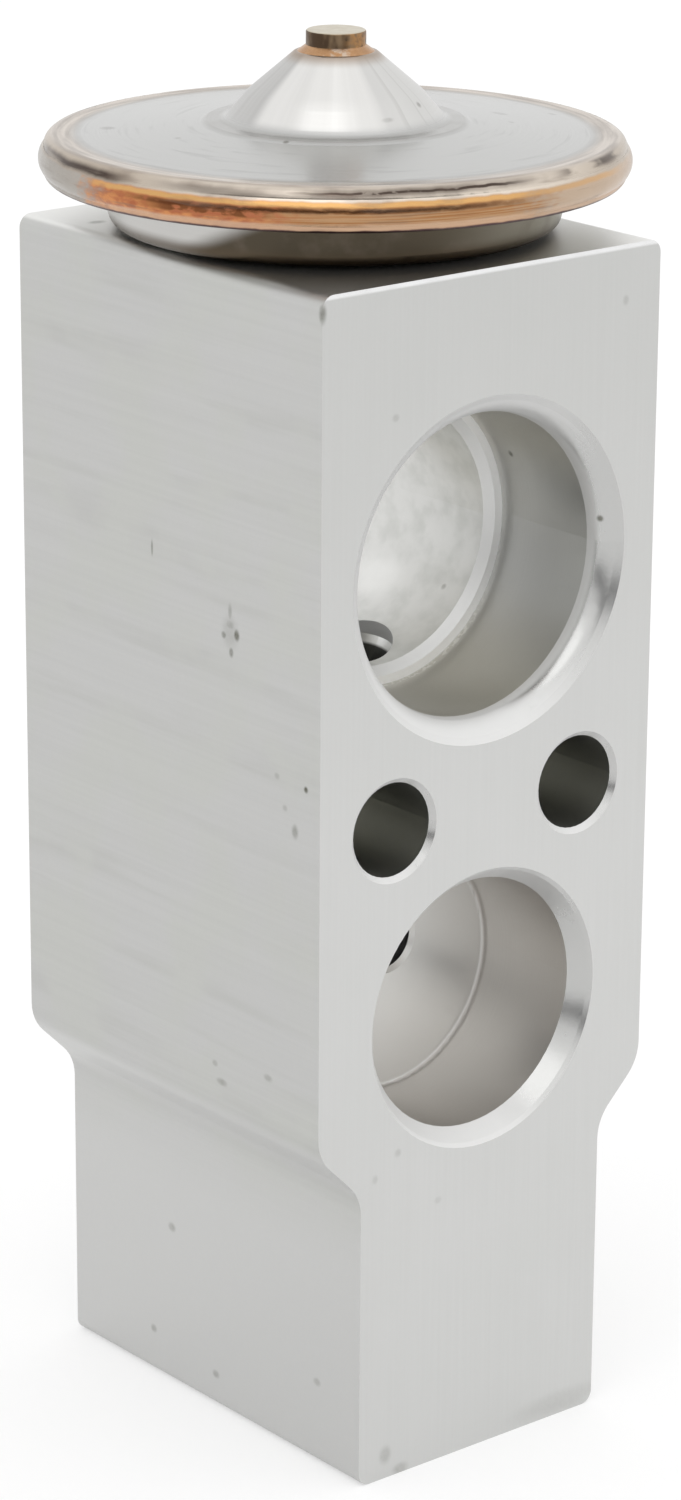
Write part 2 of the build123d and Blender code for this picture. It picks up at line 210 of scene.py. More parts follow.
# Painted shade at the dish's lower edge
dish_edge_shade_brown = (0.10, 0.075, 0.05)
weld_grey = (0.5, 0.45, 0.4)
plug_dark = (0.085, 0.055, 0.035)
plug_brown = (0.26, 0.18, 0.11)
plug_top_light = (0.66, 0.61, 0.50)
plug_top_grey = (0.54, 0.49, 0.39)
plug_scorch = (0.42, 0.23, 0.10)
copper_dark = (0.36, 0.19, 0.09)
copper_light = (0.60, 0.36, 0.19)
copper_bare_grey = (0.66, 0.62, 0.56)

# Colours of the rim's heat tint, and of the painted reflections and highlight on it
silver_dark = (0.27, 0.245, 0.215)
silver_light = (0.50, 0.465, 0.42)
pale_dark = (0.44, 0.33, 0.24)
pale_light = (0.62, 0.48, 0.36)
orange_red = (0.44, 0.135, 0.065)
orange_light = (0.66, 0.28, 0.11)
warm_tan = (0.50, 0.30, 0.16)
thread_brown = (0.36, 0.14, 0.04)
lower_tan = (0.66, 0.45, 0.31)
gold_tan = (0.66, 0.38, 0.15)
# Painted dark reflection across the bead's middle
reflection_line_brown = (0.17, 0.07, 0.03)
core_black = (0.10, 0.03, 0.012)
crest_grey = (0.49, 0.42, 0.345)
# Painted highlight on the bead's crest
crest_highlight = (0.71, 0.63, 0.54)
bottom_black = (0.10, 0.05, 0.05)
# Painted dark reflection along the groove
groove_reflection_black = (0.075, 0.055, 0.045)
smear_brown = (0.20, 0.15, 0.12)

# Cut through the superheat spring: a vertex this near its plane is snapped to it, and ones this near merge
cut_snap = 0.00001
cut_merge = 0.0001


def look_from(azimuth, elevation):
    """Unit vector towards a viewer at an azimuth and elevation; azimuth 0 is in front, at -Y."""
    a, e = radians(azimuth), radians(elevation)
    return Vector((sin(a) * cos(e), -cos(a) * cos(e), sin(e)))


class Nodes:
    """Short calls for the nodes of one shader tree."""

    def __init__(self, tree):
        self.tree = tree

    def put(self, socket, value):
        """Links a socket to a node's output, or sets it to a value."""
        if isinstance(value, bpy.types.NodeSocket):
            self.tree.links.new(value, socket)
        else:
            socket.default_value = value

    def node(self, kind, *values, **settings):
        """A new node; the values go to its inputs in order, named settings to its inputs or properties."""
        made = self.tree.nodes.new(kind)
        for name, value in settings.items():
            if name in made.inputs:
                self.put(made.inputs[name], value)
            else:
                setattr(made, name, value)
        for socket, value in zip(made.inputs, values):
            self.put(socket, value)
        return made

    def math(self, operation, *values):
        return self.node("ShaderNodeMath", *values, operation=operation).outputs[0]

    def step(self, value, start, end):
        """Rises smoothly from 0 at start to 1 at end; start may lie above end."""
        ranged = self.node("ShaderNodeMapRange", value, start, end, interpolation_type="SMOOTHSTEP")
        return ranged.outputs[0]

    def spread(self, value, low, high):
        """Maps 0..1 to low..high."""
        return self.node("ShaderNodeMapRange", value, 0.0, 1.0, low, high).outputs[0]

    def both(self, *masks):
        """Product of masks."""
        made = masks[0]
        for mask in masks[1:]:
            made = self.math("MULTIPLY", made, mask)
        return made

    def either(self, *masks):
        """Largest of masks."""
        made = masks[0]
        for mask in masks[1:]:
            made = self.math("MAXIMUM", made, mask)
        return made

    def outside(self, mask):
        return self.math("SUBTRACT", 1.0, mask)

    def band(self, value, start, end, soft):
        """1 between two values, with soft ends."""
        rise = self.step(value, start - soft, start + soft)
        return self.both(rise, self.step(value, end + soft, end - soft))

    def dot(self, vector, direction):
        product = self.node("ShaderNodeVectorMath", vector, direction, operation="DOT_PRODUCT")
        return product.outputs["Value"]

    def mix(self, mask, under, over):
        """Colour over laid on colour under where the mask is 1."""
        made = self.node("ShaderNodeMix", data_type="RGBA")
        for index, value in ((0, mask), (6, under), (7, over)):
            if index and not isinstance(value, bpy.types.NodeSocket):
                value = (*value, 1.0)
            self.put(made.inputs[index], value)
        return made.outputs[2]


class Paint(Nodes):
    """A procedural material: its shader and the part's coordinates in mm."""

    def __init__(self, name, metallic=1.0):
        self.material = bpy.data.materials.new(name)
        self.material.use_nodes = True
        super().__init__(self.material.node_tree)
        self.surface = self.tree.nodes["Principled BSDF"]
        self.surface.inputs["Metallic"].default_value = metallic
        place = self.node("ShaderNodeTexCoord")
        scaled = self.node("ShaderNodeVectorMath", place.outputs["Object"], operation="SCALE", Scale=1 / mm)
        self.place = scaled.outputs[0]
        self.x, self.y, self.z = self.node("ShaderNodeSeparateXYZ", self.place).outputs
        self.nx, self.ny, self.nz = self.node("ShaderNodeSeparateXYZ", place.outputs["Normal"]).outputs
        self.radius = self.distance(self.x, self.y, 0.0, 0.0)

    def azimuth(self):
        """Azimuth about the part's axis in degrees, 0 in front, at -Y."""
        turn = self.math("ARCTAN2", self.x, self.math("MULTIPLY", self.y, -1.0))
        return self.math("DEGREES", turn)

    def noise(self, size, detail=2.0, stretch=(1.0, 1.0, 1.0)):
        """Noise with features of a size in mm, longer along an axis by its stretch."""
        shares = tuple(1 / (size * s) for s in stretch)
        scaled = self.node("ShaderNodeVectorMath", self.place, shares, operation="MULTIPLY").outputs[0]
        return self.node("ShaderNodeTexNoise", scaled, Scale=1.0, Detail=detail).outputs[0]

    def rings(self, value, size, detail=2.0):
        """Noise along one value only, as a tool leaves it on a turned face."""
        scaled = self.math("DIVIDE", value, size)
        return self.node("ShaderNodeTexNoise", noise_dimensions="1D", W=scaled, Detail=detail).outputs[0]

    def round_streaks(self, length, width):
        """Noise that runs round the part's axis, with a length in degrees and a width in mm."""
        turns = degrees(1) / length
        sides = [self.math("DIVIDE", v, self.radius) for v in (self.x, self.y)]
        about = [self.math("MULTIPLY", side, turns) for side in sides]
        across = self.math("DIVIDE", self.math("ADD", self.radius, self.z), width)
        place = self.node("ShaderNodeCombineXYZ", *about, across).outputs[0]
        return self.node("ShaderNodeTexNoise", place, Scale=1.0, Detail=3.0).outputs[0]

    def distance(self, u, v, centre_u, centre_v):
        """Distance of (u, v) from a centre."""
        du, dv = self.math("SUBTRACT", u, centre_u), self.math("SUBTRACT", v, centre_v)
        squares = self.math("ADD", self.math("MULTIPLY", du, du), self.math("MULTIPLY", dv, dv))
        return self.math("SQRT", squares)

    def spot(self, centre, radii, depth):
        """Soft round mark: depth at its centre, 0 from its radii out."""
        shares = Vector([1 / r for r in radii])
        shift = Vector([-c / r for c, r in zip(centre, radii)])
        local = self.node("ShaderNodeVectorMath", self.place, shares, shift, operation="MULTIPLY_ADD")
        far = self.node("ShaderNodeVectorMath", local.outputs[0], operation="LENGTH").outputs["Value"]
        return self.math("MULTIPLY", self.step(far, 1.0, 0.25), depth)

    def marked(self, marks, patches, under, dirt):
        """Lays the colour dirt on the colour under in round marks, uneven by patches."""
        shade = self.either(*[self.spot(*mark) for mark in marks])
        return self.mix(self.both(shade, patches), under, dirt)

    def fine_grain(self):
        """Small grain of the heat tint and of the weld's surface."""
        return self.noise(0.9, 4.0, (1.0, 1.0, 0.5))

    def colour(self, value):
        self.put(self.surface.inputs["Base Color"], value)

    def roughness(self, value):
        self.put(self.surface.inputs["Roughness"], value)

    def bump(self, height, depth):
        """Relief of a depth in mm, from a height of 0..1."""
        made = self.node("ShaderNodeBump", Height=height, Strength=1.0, Distance=depth * mm)
        self.put(self.surface.inputs["Normal"], made.outputs[0])

    def cover(self, *names):
        """Gives this material to CAD nodes."""
        for name in names:
            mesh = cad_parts[name].data
            mesh.materials.clear()
            mesh.materials.append(self.material)


def add_camera():
    back = look_from(view_azimuth, view_elevation)
    level = Vector((cos(radians(view_azimuth)), sin(radians(view_azimuth)), 0))
    upright = back.cross(level)
    roll = radians(view_roll)
    right = level * cos(roll) + upright * sin(roll)
    up = upright * cos(roll) - level * sin(roll)
    place = Vector((0, 0, view_target_height)) + back * view_distance + right * view_right + up * view_up
    lens = bpy.data.cameras.new("camera")
    lens.lens = view_lens
    lens.sensor_width = film_size
    camera = bpy.data.objects.new("camera", lens)
    axes = Matrix((right, up, back)).transposed().to_4x4()
    camera.matrix_world = Matrix.Translation(place * mm) @ axes
    bpy.context.scene.collection.objects.link(camera)
    bpy.context.scene.camera = camera


def add_sky():
    """Pale studio with a dark strip low behind the camera, plain white where the camera looks."""
    world = bpy.data.worlds.new("studio")
    world.use_nodes = True
    n = Nodes(world.node_tree)
    n.tree.nodes.clear()
    toward = n.node("ShaderNodeTexCoord").outputs["Generated"]
    height = n.node("ShaderNodeSeparateXYZ", toward).outputs[2]
    glow = n.step(n.dot(toward, look_from(glow_azimuth, glow_elevation)), *glow_fade)
    low = n.step(height, strip_top + strip_soft, strip_top - strip_soft)
    strip = n.both(low, n.step(n.dot(toward, look_from(strip_azimuth, 0.0)), *strip_fade))
    level = n.both(n.spread(glow, sky_level, sky_level + glow_level), n.spread(strip, 1.0, strip_level))
    light = n.node("ShaderNodeBackground", (1.0, 1.0, 1.0, 1.0), level)
    plain = n.node("ShaderNodeBackground", (1.0, 1.0, 1.0, 1.0), 1.0)
    seen = n.node("ShaderNodeLightPath").outputs["Is Camera Ray"]
    both = n.node("ShaderNodeMixShader", seen, light.outputs[0], plain.outputs[0])
    n.node("ShaderNodeOutputWorld", both.outputs[0])
    bpy.context.scene.world = world


def add_floor():
    """Pale floor that keeps the part's shadow and shows white to the camera and in the metal."""
    size = floor_radius * mm
    mesh = bpy.data.meshes.new("floor")
    corners = [(-size, -size, 0), (size, -size, 0), (size, size, 0), (-size, size, 0)]
    mesh.from_pydata(corners, [], [(0, 1, 2, 3)])
    floor = bpy.data.objects.new("floor", mesh)
    bpy.context.scene.collection.objects.link(floor)
    material = bpy.data.materials.new("floor_white")
    material.use_nodes = True
    n = Nodes(material.node_tree)
    shade = n.tree.nodes["Principled BSDF"]
    shade.inputs["Base Color"].default_value = (floor_grey, floor_grey, floor_grey, 1.0)
    shade.inputs["Roughness"].default_value = 1.0
    shade.inputs["Specular IOR Level"].default_value = 0.0
    shade.inputs["Emission Color"].default_value = (1.0, 1.0, 1.0, 1.0)
    path = n.node("ShaderNodeLightPath")
    mirrored = n.either(path.outputs["Is Glossy Ray"], path.outputs["Is Transmission Ray"])
    seen = n.math("MULTIPLY", path.outputs["Is Camera Ray"], floor_seen_fill)
    n.put(shade.inputs["Emission Strength"], n.math("MULTIPLY_ADD", mirrored, floor_fill, seen))
    mesh.materials.append(material)


def add_light(name, azimuth, elevation, distance, size, power):
    """Square soft light that points at the middle of the part."""
    data = bpy.data.lights.new(name, "AREA")
    data.size = size * mm
    data.energy = power
    lamp = bpy.data.objects.new(name, data)
    back = look_from(azimuth, elevation)
    place = Vector((0, 0, block_height / 2)) + back * distance
    lamp.matrix_world = Matrix.Translation(place * mm) @ back.to_track_quat("Z", "Y").to_matrix().to_4x4()
    bpy.context.scene.collection.objects.link(lamp)


# Dark marks of handling on the block: centre, radii and depth of each
left, foot, front, top = -block_half_width, -foot_half_width, -block_half_depth, block_height
block_marks = (
    ((left, -6.80, 57.7), (1.0, 1.1, 1.5), 0.20),
    ((left, -6.78, 59.05), (0.5, 0.28, 0.75), 0.35),
    ((left, -6.80, 58.2), (0.5, 0.65, 0.45), 0.35),
    ((left, -6.15, 57.4), (0.5, 0.35, 0.35), 0.60),
    ((left, -7.45, 57.65), (0.5, 0.40, 0.55), 0.85),
    ((left, -6.90, 56.4), (0.5, 0.30, 0.45), 0.65),
    ((left, 1.35, 61.5), (0.5, 0.16, 0.75), 0.55),
    ((left, -14.48, 49.19), (0.5, 0.28, 0.30), 1.0),
    ((left, -13.4, 46.11), (0.5, 0.45, 0.65), 0.45),
    ((left, -12.38, 47.44), (0.5, 0.35, 0.30), 0.25),
    ((left, -11.57, 49.36), (0.5, 0.35, 0.30), 0.25),
    ((left, -5.86, 26.7), (0.5, 0.75, 0.35), 0.35),
    ((left, -10.7, 28.52), (0.5, 0.60, 0.35), 0.30),
    ((left, -5.12, 27.81), (0.5, 0.40, 0.30), 0.30),
    ((foot, 4.36, 11.8), (0.5, 0.55, 0.45), 0.35),
    ((foot, 6.49, 3.4), (0.5, 0.45, 0.40), 0.35),
    ((foot, -0.52, 2.52), (0.5, 0.50, 0.40), 0.35),
    ((foot, -11.46, 6.05), (0.5, 0.50, 0.40), 0.30),
    ((-8.14, front, 1.69), (0.7, 0.6, 0.9), 0.25),
    ((-6.82, front, 0.3), (0.9, 0.6, 0.6), 0.25),
    ((-7.29, front, 23.2), (0.40, 0.5, 0.40), 0.18),
    ((-9.22, front, 21.82), (0.35, 0.5, 0.45), 0.16),
    ((-3.79, front, 18.92), (0.45, 0.5, 0.35), 0.12),
    ((11.07, front, 77.37), (0.35, 0.5, 0.45), 0.22),
    ((-8.09, front, 72.56), (0.40, 0.5, 0.35), 0.20),
    ((7.5, front, 0.9), (6.0, 0.6, 1.1), 0.12),
    ((-11.47, 10.36, top), (0.9, 0.6, 0.5), 0.45),
    ((left, front, 79.9), (0.45, 0.45, 0.85), 0.60),
    ((8.87, -7.54, 65.92), (0.35, 0.30, 0.35), 0.75),
    ((10.17, -14.9, 62.85), (0.40, 0.30, 0.32), 0.80),
    ((7.11, -3.02, 56.12), (0.4, 0.30, 0.28), 0.40),
    ((7.4, -2.5, 56.5), (0.9, 0.8, 0.8), 0.10),
)

# The same on the upper cap
cap_marks = (
    ((-11.4, 9.21, 87.31), (0.55, 0.90, 0.60), 0.55),
    ((-10.96, 2.35, 87.62), (0.25, 0.35, 0.40), 0.45),
    ((11.03, -3.46, 87.59), (0.60, 0.90, 0.50), 0.40),
    ((9.52, -6.25, 87.61), (0.30, 0.40, 0.40), 0.35),
    ((14.93, -4.17, 87.23), (0.35, 0.50, 0.50), 0.45),
    ((2.26, -5.57, 89.43), (0.28, 0.30, 0.30), 0.55),
    ((-0.96, -6.37, 88.92), (0.60, 0.35, 0.20), 0.30),
    ((-7.44, -4.17, 87.93), (0.28, 0.28, 0.28), 0.80),
)


def block_masks(p):
    """Masks of the block's faces, edges, bores and spots, and the grains that lie on them."""
    m = SimpleNamespace()
    aside, ahead = p.math("ABSOLUTE", p.x), p.math("ABSOLUTE", p.y)
    m.facing = p.math("ABSOLUTE", p.ny)
    near_face = p.step(ahead, block_half_depth - edge_depth - 0.1, block_half_depth - edge_depth)
    at_face = p.step(ahead, block_half_depth - 0.1, block_half_depth - 0.05)
    m.milled = p.both(p.step(m.facing, 0.93, 0.99), at_face)
    m.edge = p.both(near_face, p.step(m.facing, 0.02, 0.40), p.step(m.facing, 0.98, 0.94))
    # Painted highlight: a light band along each port face's top edge, which is also smoother there
    m.worn = p.both(m.milled, p.step(p.z, block_height - 0.38, block_height - 0.20))
    m.sawn = p.both(p.step(p.z, block_height - 0.4, block_height - 0.1), p.step(p.nz, 0.6, 0.9))
    m.slope = p.both(p.step(p.nz, -0.25, -0.6), p.band(p.z, *slope_heights, 1.0))

    suction = p.distance(p.x, p.z, 0.0, suction_height)
    liquid = p.distance(p.x, p.z, 0.0, liquid_height)
    bolt = p.distance(aside, p.z, bolt_across, bolt_height)
    bored = p.both(p.outside(m.milled), p.outside(m.edge))
    m.in_suction = p.both(bored, p.step(suction, suction_reach, suction_reach - 0.1))
    m.in_liquid = p.both(bored, p.step(liquid, liquid_reach, liquid_reach - 0.1))
    m.in_bolt = p.both(bored, p.step(bolt, bolt_reach, bolt_reach - 0.1))
    m.ports = p.either(m.in_suction, m.in_liquid, m.in_bolt)

    front_end = suction_depth - block_half_depth
    back_end = block_half_depth - suction_back_depth
    m.between = p.both(m.in_suction, p.band(p.y, front_end - 0.05, back_end + 0.05, 0.04))
    m.passage = p.both(m.in_suction, p.band(p.y, front_end + ring_depth, back_end - ring_depth, 0.04))
    low = p.step(p.z, suction_height - 4.0, suction_height - 8.0)
    m.burr = p.both(m.in_suction, p.band(p.y, front_end - burr_width, front_end, 0.12), low)
    liquid_end = liquid_depth - block_half_depth
    m.liquid_floor = p.step(p.y, liquid_end - 0.1, liquid_end - 0.02)
    m.corner = p.both(m.in_liquid, p.band(p.y, liquid_end - burr_width, liquid_end, 0.04))

    in_pocket = p.step(p.radius, pocket_radius, pocket_radius - 0.1)
    m.mouth = p.both(in_pocket, p.step(p.z, passage_floor + 1.3, passage_floor + 1.1))
    m.pocket = p.both(in_pocket, p.step(p.z, pocket_shade + 0.12, pocket_shade - 0.12))
    well = p.both(m.mouth, m.in_suction, p.step(p.z, passage_floor, passage_floor + 0.05))

    overhang = p.both(p.step(p.nz, 0.1, -0.1), p.step(m.facing, 0.60, 0.35))
    near_suction = p.step(suction, suction_reach, suction_reach - 0.1)
    at_flare = p.both(near_face, near_suction, p.step(m.facing, 0.0, 0.08))
    root = p.both(at_flare, p.either(overhang, p.step(m.facing, 0.48, 0.26)), 0.8)
    lip = p.both(m.edge, p.either(p.step(p.nx, -0.50, -0.15), p.step(p.nz, -0.30, -0.90)))
    m.dull = p.either(root, lip, p.both(well, 0.9))

    m.drawn = p.noise(0.30, 3.0, (1.0, 110.0, 1.0))
    m.streaks = p.noise(1.6, 3.0, (1.0, 14.0, 1.0))
    m.clouds = p.noise(7.0, 3.0)
    m.brushed = p.noise(0.22, 2.0, (1.0, 1.0, 60.0))
    m.sand = p.noise(0.30, 4.0)
    m.turned = p.rings(p.y, 0.35)
    return m


def face_colour(p, m):
    """Greys of the block's drawn sides, sawn top and milled port faces, with a painted highlight along the
    port faces' top edges and painted light towards the foot.
    """
    side = p.mix(p.step(m.streaks, 0.50, 0.72), drawn_grey, streak_grey)
    side = p.mix(p.step(m.clouds, 0.40, 0.65), side, cloud_grey)
    side = p.mix(p.spread(m.drawn, 0.0, 0.22), side, line_grey)
    # Painted light: the sides turn lighter towards the foot, to offset the shade near the floor
    side = p.mix(p.step(p.z, shoulder_height - 2.0, shoulder_height - 10.0), side, foot_grey)
    side = p.mix(m.slope, side, slope_grey)
    side = p.mix(m.sawn, side, sawn_grey)
    milled = p.mix(m.clouds, milled_grey, milled_cloud_grey)
    milled = p.mix(p.spread(p.step(p.z, *face_shade_heights), 0.0, 0.25), milled, face_shade_grey)
    milled = p.mix(p.spread(m.brushed, 0.0, 0.12), milled, brushed_grey)
    metal = p.mix(m.milled, side, milled)
    metal = p.mix(m.edge, metal, edge_grey)
    return p.mix(p.both(m.worn, p.spread(m.streaks, 0.6, 1.2)), metal, worn_grey)


def bore_colour(p, m, metal):
    """Lays the greys of the ports, the passage and the pocket on the metal's colour, with painted light on
    the ring's flat and the pocket's upper wall, a painted highlight in the passage and painted shade deep
    in the pocket.
    """
    deep = p.step(p.math("ABSOLUTE", p.math("SUBTRACT", p.z, suction_height - 1.0)), 3.0, 9.0)
    suction = p.mix(deep, suction_grey, suction_deep_grey)
    suction = p.mix(p.spread(m.turned, 0.0, 0.25), suction, suction_line_grey)
    liquid = p.mix(m.turned, liquid_grey, liquid_line_grey)
    liquid = p.mix(m.liquid_floor, liquid, liquid_floor_grey)
    # Painted light: the ring's flat is much lighter than its cone, to offset the shade in the bore
    ring = p.mix(p.step(m.facing, 0.7, 0.95), ring_cone_grey, ring_flat_grey)
    passage = p.mix(p.step(p.noise(1.6, 4.0), 0.35, 0.75), passage_grey, passage_blotch_grey)
    # Painted highlight: a light spot on the passage wall
    passage = p.mix(p.spot(*passage_gleam), passage, passage_gleam_grey)
    metal = p.mix(m.in_suction, metal, suction)
    metal = p.mix(m.in_liquid, metal, liquid)
    metal = p.mix(m.in_bolt, metal, bolt_hole_grey)
    metal = p.mix(m.between, metal, ring)
    metal = p.mix(m.passage, metal, passage)
    metal = p.mix(p.both(m.burr, p.step(m.sand, 0.50, 0.60), 0.5), metal, burr_grey)
    # Painted light on the pocket's upper wall, and painted shade: black below pocket_shade, as a deep hole
    # in shade
    metal = p.mix(m.mouth, metal, mouth_lit_grey)
    metal = p.mix(m.pocket, metal, pocket_shade_black)
    return p.mix(m.dull, metal, dull_grey)


def block_finish():
    """Aluminium block: drawn lines on the sides, milled port faces, turned bores, dull passage."""
    p = Paint("block_aluminium")
    m = block_masks(p)
    metal = bore_colour(p, m, face_colour(p, m))
    p.colour(p.marked(block_marks, p.spread(p.noise(0.25, 3.0), 0.55, 1.35), metal, dirt_grey))
    rough = p.spread(m.sand, 0.36, 0.46)
    ring = p.both(m.between, p.outside(m.passage))
    for change, mask in (
        (0.12, p.either(m.slope, ring)),
        (-0.06, m.ports),
        (0.20, p.either(m.dull, m.corner)),
        (-0.16, m.edge),
        (-0.20, m.worn),
    ):
        rough = p.math("MULTIPLY_ADD", mask, change, rough)
    p.roughness(rough)
    p.put(p.surface.inputs["Metallic"], p.spread(m.dull, 1.0, dull_metallic))
    relief = p.mix(m.milled, p.mix(m.ports, m.drawn, m.turned), m.brushed)
    p.bump(p.mix(m.passage, relief, m.sand), block_relief)
    p.cover("valve_body")


def rim_groove(p, around, wave, smear, fine, hidden, swell):
    """Painted dark reflection along the groove between the bead and the upper cap, patchy, which swings up
    and down round the rim.
    """
    swing = p.math("SINE", p.math("RADIANS", p.math("ADD", around, groove_turn)))
    height = p.math("MULTIPLY_ADD", swing, groove_swing, groove_height)
    off = p.math("ABSOLUTE", p.math("SUBTRACT", wave, height))
    front = p.band(around, *groove_front, 8.0)
    shade = p.either(
        p.band(around, *groove_left, 5.0),
        p.both(p.band(around, *groove_near, 8.0), 0.6),
        p.both(front, 0.75),
        p.both(p.band(around, *groove_right, 6.0), p.step(smear, 0.42, 0.56), 0.9),
        p.both(hidden, p.step(swell, 0.45, 0.65), 0.5),
    )
    unevenness = p.spread(p.step(smear, 0.25, 0.55), 0.55, 1.0)
    wide = p.both(p.step(off, 0.42, 0.06), shade, unevenness)
    thin = p.both(p.step(off, 0.15, 0.04), front, p.step(fine, 0.25, 0.45))
    return p.both(p.either(thin, wide), p.step(p.radius, *groove_radii))


def heat_tint(p, steel):
    """Lays the rim's heat tint on a steel colour: bands by height, fading round the rim, with a painted
    dark reflection line across the bead, a painted highlight on its crest and a painted dark reflection
    along the groove.
    """
    around = p.azimuth()
    patch, fine, swell = p.noise(5.0, 3.0), p.fine_grain(), p.noise(15.0, 2.0)
    smear, thread = p.round_streaks(14.0, 0.35), p.round_streaks(25.0, 0.12)
    wave = p.math("ADD", p.z, p.spread(p.round_streaks(5.0, 3.0), -0.12, 0.12))
    ragged = p.math("ADD", around, p.spread(fine, -9.0, 9.0))
    hidden = p.outside(p.band(around, *seen_span, 20.0))
    hot = p.band(ragged, *hot_span, 7.0)
    warm = p.either(p.band(ragged, *warm_span, 8.0), p.both(hidden, p.step(swell, 0.40, 0.62), 0.8))
    right = p.band(around, *right_span, 10.0)

    silver = p.mix(patch, silver_dark, silver_light)
    pale = p.mix(patch, pale_dark, pale_light)
    orange = p.mix(p.step(fine, 0.35, 0.65), orange_red, orange_light)
    tint = p.mix(warm, p.mix(right, silver, pale), warm_tan)
    tint = p.mix(p.both(p.step(thread, 0.42, 0.62), warm, 0.7), tint, thread_brown)
    tint = p.mix(p.both(hot, p.spread(fine, 0.7, 1.1)), tint, orange)

    lower = p.both(p.step(wave, *lower_heights), p.either(warm, p.both(right, 0.6)), 0.75)
    tint = p.mix(lower, tint, lower_tan)
    gold = p.either(warm, p.both(p.band(around, *gold_span, 6.0), 0.6))
    tint = p.mix(p.both(p.band(wave, *gold_heights, 0.10), gold), tint, gold_tan)
    # Painted dark reflection: a brown line across the bead's middle in front
    reflection_line = p.both(p.band(wave, *reflection_line_heights, 0.10), p.band(ragged, *reflection_line_span, 8.0))
    tint = p.mix(p.both(reflection_line, p.step(fine, 0.20, 0.50), 0.8), tint, reflection_line_brown)
    core = p.both(p.band(around, *core_span, 5.0), p.band(wave, *core_heights, 0.12))
    tint = p.mix(p.both(core, p.step(fine, 0.38, 0.55), 0.8), tint, core_black)
    # Painted highlight: the bead's crest lighter in front, browner elsewhere
    crest = p.mix(p.band(around, *crest_highlight_span, 12.0), crest_grey, crest_highlight)
    tint = p.mix(p.step(wave, *crest_heights), tint, crest)
    tint = p.mix(p.step(wave, *bottom_heights), tint, bottom_black)

    groove = rim_groove(p, around, wave, smear, fine, hidden, swell)
    # Painted dark reflection along the groove
    tint = p.mix(groove, tint, groove_reflection_black)
    tint = p.mix(p.both(p.step(smear, 0.55, 0.70), 0.35), tint, smear_brown)
    return p.mix(p.step(p.radius, *tint_radii), steel, tint)


def cap_finish():
    """Pressed stainless sheet: faint turning rings, a creased lip with straw tint, soft drawn cone; painted
    shade in the crease and round the cone's foot, and painted light and shade round the cone.
    """
    p = Paint("cap_steel")
    rings = p.rings(p.radius, 0.45, 3.0)
    smear = p.round_streaks(20.0, 0.45)
    cone = p.step(p.radius, *cone_radii)
    sheet = p.mix(rings, crown_grey, crown_ring_grey)
    crown = p.step(p.radius, *crown_radii)
    sheet = p.mix(p.both(p.step(smear, 0.56, 0.72), crown, 0.4), sheet, crown_smear_grey)
    straw = p.mix(p.step(smear, 0.3, 0.7), straw_dark, straw_light)
    sheet = p.mix(p.step(p.radius, crease_radius - 0.3, crease_radius + 0.5), sheet, straw)
    # Painted shade in the crease inside the lip and round the cone's foot, uneven round the rim
    crease = p.step(p.math("ABSOLUTE", p.math("SUBTRACT", p.radius, crease_radius)), 0.55, 0.05)
    collar = p.band(p.radius, *collar_radii, 0.25)
    worn = p.spread(p.round_streaks(10.0, 2.0), 0.2, 1.2)
    creased = p.both(p.either(p.both(crease, 0.40), p.both(collar, 0.45)), worn)
    sheet = p.mix(creased, sheet, crease_shade_brown)

    around = p.azimuth()
    # Painted light and shade round the cone: shaded sides, a lit span in front, lighter on the right
    wide = p.step(p.round_streaks(17.0, 9.0), 0.30, 0.70)
    shaded = p.mix(wide, cone_shade_dark, cone_shade_grey)
    shaded = p.mix(p.step(around, -30.0, 10.0), shaded, cone_right_grey)
    bright = p.mix(wide, cone_lit_dark, cone_lit_grey)
    drawn = p.mix(p.band(around, *lit_span, 5.0), shaded, bright)
    streak = p.both(p.step(p.round_streaks(5.0, 20.0), 0.58, 0.70), p.step(around, -5.0, 15.0), 0.5)
    sheet = p.mix(cone, sheet, p.mix(streak, drawn, cone_streak_grey))
    scorched = p.both(p.step(p.radius, 3.5, 2.6), p.step(p.z, *scorch_heights), 0.8)
    sheet = p.mix(scorched, sheet, scorch_brown)
    sheet = p.marked(cap_marks, p.spread(p.noise(0.4, 3.0), 0.3, 1.4), sheet, cap_dirt_brown)
    p.colour(heat_tint(p, sheet))
    p.roughness(p.math("ADD", p.spread(rings, 0.20, 0.28), p.both(cone, 0.10)))
    p.bump(rings, 0.002)
    p.cover("upper_cap")


def dish_finish():
    """Underside of the head: duller stainless, with painted shade and dark reflection in front and painted
    shade at its lower edge.
    """
    p = Paint("dish_steel")
    rings = p.rings(p.z, 0.3, 3.0)
    around = p.azimuth()
    slanted = p.math("SUBTRACT", around, p.both(p.math("SUBTRACT", p.z, dish_middle), 9.0))
    steel = p.mix(rings, dish_grey, dish_ring_grey)
    # Painted shade and dark reflection over the dish's front, cloudy, across dish_span
    shade = p.mix(p.step(around, -20.0, 35.0), dish_shade_left, dish_shade_right)
    shade = p.mix(p.both(p.step(p.noise(2.0, 3.0), 0.5, 0.75), 0.4), shade, dish_shade_cloud_brown)
    steel = p.mix(p.band(slanted, *dish_span, 7.0), steel, shade)
    # Painted shade: the dish's lower edge turns dark brown where it stands just over the block
    brown = p.both(p.step(p.z, *dish_edge_shade_heights), p.step(p.radius, 13.0, 14.0), 0.85)
    steel = p.mix(brown, steel, dish_edge_shade_brown)
    p.colour(heat_tint(p, steel))
    p.roughness(p.spread(rings, 0.28, 0.38))
    p.cover("lower_cap")


def weld_finish():
    """Stainless weld bead: copper orange in front, brownish silver round the sides."""
    p = Paint("weld_tint")
    p.colour(heat_tint(p, weld_grey))
    fine = p.fine_grain()
    p.roughness(p.spread(fine, 0.16, 0.30))
    p.bump(fine, 0.02)
    p.cover("rim_weld")


